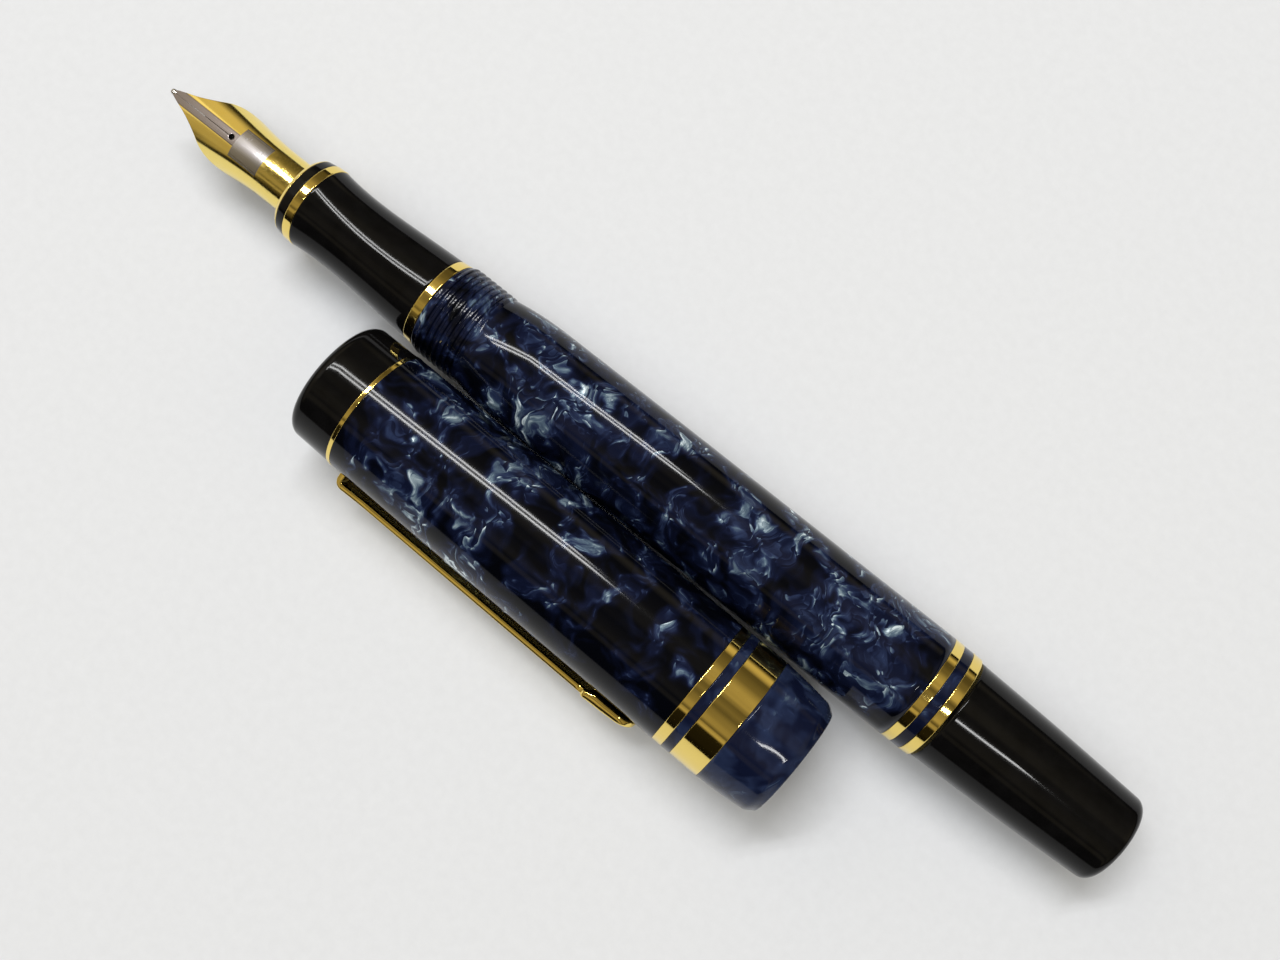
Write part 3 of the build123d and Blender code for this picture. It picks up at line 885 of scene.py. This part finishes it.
def cap_lip(material):
    """Blue mouth of the cap, curved in towards its rim."""
    radius = cap_span("cap_lip")[2]
    end = cap_span("cap_band_wide")[0]
    start = end - 7.0
    rim_radius = 6.50
    curve_radius = 7.16
    bore = 5.95
    curve = []
    for k in range(13):
        t = k / 12
        rise = 0.66 * math.sin(t * math.pi / 2) ** 1.2
        curve.append((start + 0.1 + 1.3 * t, rim_radius + rise))
    outside = flowing([(start + 1.4, curve_radius), (start + 4.0, 7.44), (end, radius)], 0.4)
    inside = [(start + 2.4, bore), (start + 0.5, bore), (start + 0.05, 6.1), (start, 6.36)]
    item = turned("cap_mouth", [*inside, *curve, *outside[1:], (end, 6.0)], CAP)
    return finish_piece(item, material, "marbled_resin", "cap", "cap_lip")


def cap_tube(material):
    """Marbled tube of the cap, closed where the clip's root goes into it."""
    start = cap_span("cap_band_narrow")[1]
    end = cap_span("cap_top_ring")[0]
    bore = 6.95
    outside = flowing([(start, 7.62), (start + 30, 7.61), (end, 7.56)], 0.8)
    item = turned("cap_body", soften([*outside, (end, bore), (start, bore)], 0.06), CAP)
    return finish_piece(item, material, "marbled_resin", "cap", "cap_tube")


def cap_crown(material):
    """Black crown with a rounded corner and a gently domed top."""
    start = cap_span("cap_top_ring")[1]
    end = cap_span("cap_crown")[1]
    corner = 1.3
    dome_height = 0.25
    top_radius = 7.44
    flat = top_radius - corner
    side = [(start + k * 0.9, 7.50 - 0.013 * k) for k in range(5)]
    arc = []
    for a in quarter_turn(12):
        station = end - dome_height - corner * (1 - math.sin(a))
        arc.append((station, top_radius - corner * (1 - math.cos(a))))
    dome = []
    for k in range(1, 13):
        radius = flat * (1 - k / 12)
        dome.append((end - dome_height * (radius / flat) ** 2, radius))
    outline = soften([(start, 0), (start, 7.0), *side], 0.05, closed=False) + [*arc, *dome]
    item = turned("crown", outline, CAP, closed=False)
    return finish_piece(item, material, "black_resin", "cap", "cap_crown")


# ---------------------------------------------------------------- clip

TONGUE_STEPS = 56


def clip_path():
    """Steps along the clip, from its root to the end of its tongue.

    Each step has its station, its middle line's distance from the cap's axis, depth, half width
    and squareness.
    """
    root = cap_span("cap_top_ring")[0] - 0.75
    end = root - 42.45
    tongue = end + 6.75
    height = 9.20
    thick = 0.75
    bend = 1.1
    inner_end = 6.4
    root_half_width = 1.75
    waist = 1.50
    tongue_half_width = 2.10
    tongue_inner = 7.82
    square = 0.24

    path = []
    for k in range(6):
        middle = inner_end + (height - bend - inner_end) * k / 6
        path.append((root - thick / 2, middle, thick, root_half_width, square))
    reach = bend - thick / 2
    for a in quarter_turn(9)[:-1]:
        station = root - bend + reach * math.cos(a)
        path.append((station, height - bend + reach * math.sin(a), thick, root_half_width, square))
    for k in range(41):
        t = k / 40
        station = root - bend + (tongue - root + bend) * t
        half = waist + (root_half_width - waist) * max(0.0, 1 - t * 12)
        path.append((station, height - thick / 2, thick, half, square))

    # the tongue: a small step up, a fuller underside and a rounded end
    for k in range(1, TONGUE_STEPS + 1):
        t = k / TONGUE_STEPS
        station = tongue + (end - tongue) * t
        step = min(1.0, t / 0.06) ** 0.6
        outer = height + 0.20 * step - 0.50 * max(0.0, t - 0.07)
        fullness = math.sin(min(1.0, t / 0.30) * math.pi / 2)
        inner = height - thick - (height - thick - tongue_inner) * fullness
        inner += 0.25 * max(0.0, t - 0.6) ** 1.5
        rounding = math.sqrt(max(0.0, 1 - (max(0.0, t - 0.70) / 0.30) ** 2))
        widening = 0.65 * step + 0.35 * min(1.0, t / 0.4)
        half = waist + (tongue_half_width - waist) * widening
        half *= 1 - 0.10 * max(0.0, t - 0.45)
        half *= max(rounding, 0.05)
        depth = (outer - inner) * max(rounding**0.5, 0.06)
        path.append((station, (outer + inner) / 2, depth, half, square + 0.22 * step))
    return np.array(path)


def clip(material):
    """Sprung clip: bent root, long bar and a fuller tongue with a rounded end."""
    around = 48
    path = clip_path()
    direction = np.gradient(path[:, :2], axis=0)
    direction[-TONGUE_STEPS - 2 :] = (-1, 0)
    direction /= np.linalg.norm(direction, axis=1)[:, None]
    across = np.column_stack([-direction[:, 1], direction[:, 0]])
    vertices = []
    for (station, middle, depth, half, squareness), out in zip(path, across):
        for j in range(around):
            a = 2 * math.pi * (j + 0.5) / around
            c, s = math.cos(a), math.sin(a)
            u = math.copysign(abs(c) ** squareness, c) * half
            v = math.copysign(abs(s) ** squareness, s) * depth / 2
            vertices.append((station + out[0] * v, middle + out[1] * v, u))
    faces = grid_faces(len(path), around, close_columns=True)
    last = (len(path) - 1) * around
    faces.append(tuple(reversed(range(around))))
    faces.append(tuple(range(last, last + around)))
    item = make_object("spring_clip", vertices, faces, CLIP)
    return finish_piece(item, material, "gold", "clip", "clip")


# ---------------------------------------------------------------- floor, lights and camera


def floor():
    """Large flat sheet under the object."""
    half = 1500
    lines = 9
    gap = 0.01
    grid = np.linspace(-half, half, lines)
    low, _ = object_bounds()
    height = low.z / MM - gap
    vertices = [(x, y, height) for x in grid for y in grid]
    faces = [face[::-1] for face in grid_faces(lines, lines)]
    sheet = make_object("floor", vertices, faces, Matrix.Identity(4))
    sheet.data.materials.append(floor_material())
    sheet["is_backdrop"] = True


def soft_fill():
    """Even light from a broad patch of ceiling, the same far out on the floor as near the pen."""
    lamp = bpy.data.lights.new("Fill", "SUN")
    lamp.energy = 1.15
    lamp.angle = math.radians(58)
    lamp.color = (0.90, 0.95, 1.0)
    item = bpy.data.objects.new("Fill", lamp)
    item.rotation_euler = Vector((0.17, 0.18, 1.1)).to_track_quat("Z", "Y").to_euler()
    item.visible_glossy = False
    bpy.context.scene.collection.objects.link(item)


def area_light(name, start, end, width, power):
    """Rectangular light whose long side runs from start to end, turned to the origin."""
    start, end = Vector(start), Vector(end)
    middle = (start + end) / 2
    along = (end - start).normalized()
    facing = middle.normalized()
    side = facing.cross(along).normalized()
    facing = along.cross(side).normalized()
    lamp = bpy.data.lights.new(name, "AREA")
    lamp.shape = "RECTANGLE"
    lamp.size = (end - start).length
    lamp.size_y = width
    lamp.energy = power
    item = bpy.data.objects.new(name, lamp)
    turn = Matrix((along, side, facing)).transposed().to_4x4()
    item.matrix_world = Matrix.Translation(middle) @ turn
    bpy.context.scene.collection.objects.link(item)


def ceiling_level(tree, parts, way):
    """Brightness of the room: a ceiling in bands that is brighter beyond the nib."""
    blotch = smooth_step(tree, noise(tree, way, 2.6, 2.0, 0.5), 0.40, 0.60)
    bands = ramp(
        tree,
        calc(tree, "MULTIPLY_ADD", parts[1], 0.5, 0.5),
        [
            (0.02, 0.60),
            (0.05, 0.08),
            (0.15, 0.15),
            (0.23, 0.31),
            (0.31, 0.44),
            (0.39, 0.50),
            (0.43, 0.26),
            (0.47, 0.13),
            (0.55, 0.24),
            (0.62, 0.14),
            (0.69, 0.24),
            (0.76, 0.34),
            (0.81, 0.40),
            (0.85, 0.10),
            (0.865, 0.45),
            (0.89, 0.45),
            (0.91, 0.008),
        ],
    )
    bands = product(
        tree,
        bands,
        calc(tree, "MULTIPLY_ADD", blotch, 0.35, 0.75),
        smooth_step(tree, parts[2], 0.05, 0.25),
    )
    beyond = product(
        tree,
        smooth_step(tree, parts[0], 0.36, 0.60),
        calc(tree, "MULTIPLY_ADD", blotch, 0.25, 0.42),
        smooth_step(tree, parts[2], 0.12, 0.42),
    )
    darkest = 0.006
    return calc(tree, "ADD", calc(tree, "MAXIMUM", bands, beyond), darkest)


def studio_wall(tree, parts):
    """Pale wall that closes low views."""
    rise = smooth_step(tree, parts[2], 0.0, 0.35)
    wall = add(tree, "ShaderNodeBackground", {"Color": (0.96, 0.98, 1.0, 1.0)})
    tree.links.new(calc(tree, "MULTIPLY_ADD", rise, 0.16, 0.60), wall.inputs["Strength"])
    return wall


def room():
    """Dim room that the pieces reflect, with a pale wall where it would be seen directly."""
    world = bpy.data.worlds.new("Room")
    bpy.context.scene.world = world
    world.use_nodes = True
    tree = world.node_tree
    way = add(tree, "ShaderNodeTexCoord").outputs["Generated"]
    parts = add(tree, "ShaderNodeSeparateXYZ", {"Vector": way}).outputs
    ceiling = tree.nodes["Background"]
    tree.links.new(ceiling_level(tree, parts, way), ceiling.inputs["Strength"])
    ceiling.inputs["Color"].default_value = (1.0, 0.84, 0.52, 1.0)
    wall = studio_wall(tree, parts)
    seen = add(tree, "ShaderNodeLightPath").outputs["Is Camera Ray"]
    either = add(tree, "ShaderNodeMixShader", {0: seen, 1: ceiling.outputs[0], 2: wall.outputs[0]})
    tree.links.new(either.outputs[0], tree.nodes["World Output"].inputs["Surface"])


def lights():
    """Three thin strips overhead, a card at the nib end and a soft fill."""
    height = 1.2
    width = 0.041
    power = 5.4
    first = Vector((0.085, -0.60, 1)) * height
    last = Vector((0.60, 0.0, 1)) * height
    along = (last - first).normalized()
    apart = along.cross(((first + last) / 2).normalized()).normalized() * 0.105
    shorter = along * 0.063
    area_light("Strip 1", first - apart / 2 + shorter, last - apart / 2, width, power)
    area_light("Strip 2", first + apart / 2, last + apart / 2, width, power)
    area_light("Strip 3", (-0.43, 0.155, height), (-0.285, 0.345, height), 0.048, 1.7)
    area_light("Card", (0.75, -0.35, 0.75), (0.75, 0.35, 0.75), 0.5, 0.5)
    soft_fill()


def camera():
    """Camera above the pen, looking almost straight down."""
    data = bpy.data.cameras.new("Camera")
    data.sensor_width = 36
    data.lens = 39.01
    data.clip_start = 0.005
    data.clip_end = 10
    item = bpy.data.objects.new("Camera", data)
    item.location = (-0.02111, 0.01244, 0.15587)
    item.rotation_euler = Euler([math.radians(a) for a in (9.945, 0.360, -140.876)])
    bpy.context.scene.collection.objects.link(item)
    bpy.context.scene.camera = item


# ---------------------------------------------------------------- assembly


def tail_rings(gold, marble):
    """Gold rings and marbled spacer between the tail and the barrel."""
    pen_ring("tail_ring_a", "tail_ring_rear", 6.39, 6.45, 5.0, gold, "gold", "barrel")
    pen_ring("tail_gap", "tail_spacer", 6.40, 6.40, 5.0, marble, "marbled_resin", "barrel")
    pen_ring("tail_ring_b", "tail_ring_front", 6.45, 6.45, 5.0, gold, "gold", "barrel")


def lip_rings(gold, black):
    """Gold rings and black spacer in front of the grip."""
    pen_ring("front_ring", "section_front_ring", 5.11, 5.09, 4.0, gold, "gold", "section")
    pen_ring("lip_gap", "section_lip_spacer", 5.04, 4.86, 4.0, black, "black_resin", "section")
    pen_ring("lip_ring", "section_lip_ring", 4.88, 4.50, 3.8, gold, "gold", "section")


def cap_bands(gold, marble):
    """Wide and narrow gold bands of the cap and the marbled spacer between them."""
    bore = 6.9
    cap_ring("wide_band", "cap_band_wide", bore, gold, "gold")
    cap_ring("band_gap", "cap_band_spacer", bore, marble, "marbled_resin")
    cap_ring("narrow_band", "cap_band_narrow", bore, gold, "gold")


def inner_pieces(gold, black, marble):
    """Finish of the pieces inside, which keep their CAD mesh."""
    by_slot = {
        "brass": plain_metal("Turned brass", (0.78, 0.60, 0.28), 0.28, 0.12),
        "steel": plain_metal("Turned steel", (0.60, 0.60, 0.61), 0.3, 0.1),
        "black_plastic": moulded_plastic("Black plastic", (0.012, 0.012, 0.012), 0.32),
        "seal_rubber": moulded_plastic("Seal rubber", (0.02, 0.02, 0.02), 0.7, 0.15),
        "clear_plastic": clear_plastic(),
        "gold": gold,
        "black_resin": black,
        "marbled_resin": marble,
    }
    slots = {row["node"]: row["material_slot"] for row in frame["record"]["subparts"]}
    for name, node in frame["nodes"].items():
        if node.hide_render:
            continue
        node.data.materials.clear()
        node.data.materials.append(by_slot[slots[name]])


def build_object():
    """Every visible piece and every carried-over CAD node with its finish."""
    denser = ((BARREL_END - 34, -0.02), (BARREL_END - 6, 0.025))
    marble = marbled_resin("Marbled resin", 3.0, density=denser)
    cap_marble = marbled_resin("Marbled resin, cap", 41.0, density=((4, -0.11), (32, 0.03)))
    calm_marble = marbled_resin("Marbled resin, cap mouth", 17.0, 1.0)
    tail_marble = marbled_resin("Marbled resin, tail spacer", 29.0, 0.62)
    black = black_resin()
    gold = polished_gold()

    barrel(marble)
    tail_piece(black)
    tail_rings(gold, tail_marble)
    pen_ring("shoulder_ring", "section_barrel_ring", 5.48, 5.38, 4.6, gold, "gold", "barrel_ring")
    grip_section(black)
    lip_rings(gold, black)
    nib(nib_metal())
    tipping(plain_metal("Tipping metal", (0.72, 0.71, 0.70), 0.2, 0.01))

    cap_lip(calm_marble)
    cap_bands(gold, calm_marble)
    cap_tube(cap_marble)
    cap_ring("top_ring", "cap_top_ring", 6.0, gold, "gold", 0.06)
    cap_crown(black)
    clip(gold)
    inner_pieces(gold, black, marble)


build_object()
floor()
room()
lights()
camera()
bpy.context.scene.view_settings.view_transform = "Standard"
